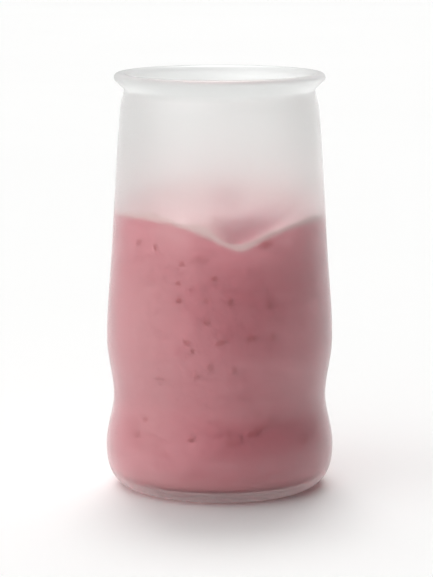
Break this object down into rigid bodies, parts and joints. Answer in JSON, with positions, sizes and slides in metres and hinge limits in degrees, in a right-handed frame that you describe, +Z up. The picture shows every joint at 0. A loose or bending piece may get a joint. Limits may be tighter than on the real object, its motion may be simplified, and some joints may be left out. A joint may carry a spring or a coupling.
{
  "type": "yogurt pot",
  "caption": "Tall frosted glass pot with a rolled lip, a waist and a rounded heel, part filled with pink fruit yogurt whose top is scooped and swirled.",
  "frame": {"origin": "centre of the pot's footprint, on the plane it stands on", "axes": "+Z up along the pot's axis; -Y towards the front, where the yogurt is scooped; +X to the right of someone who looks at the front"},
  "size_m": [0.0664, 0.0662, 0.12],
  "materials": {
    "frosted_glass": "satin frosted outside, smooth inside",
    "fruit_yogurt": "soft and moist, pink with dark red flecks of fruit"
  },
  "bodies": {
    "root": {"jar": "frosted_glass", "yogurt": "fruit_yogurt"}
  },
  "joints": []
}
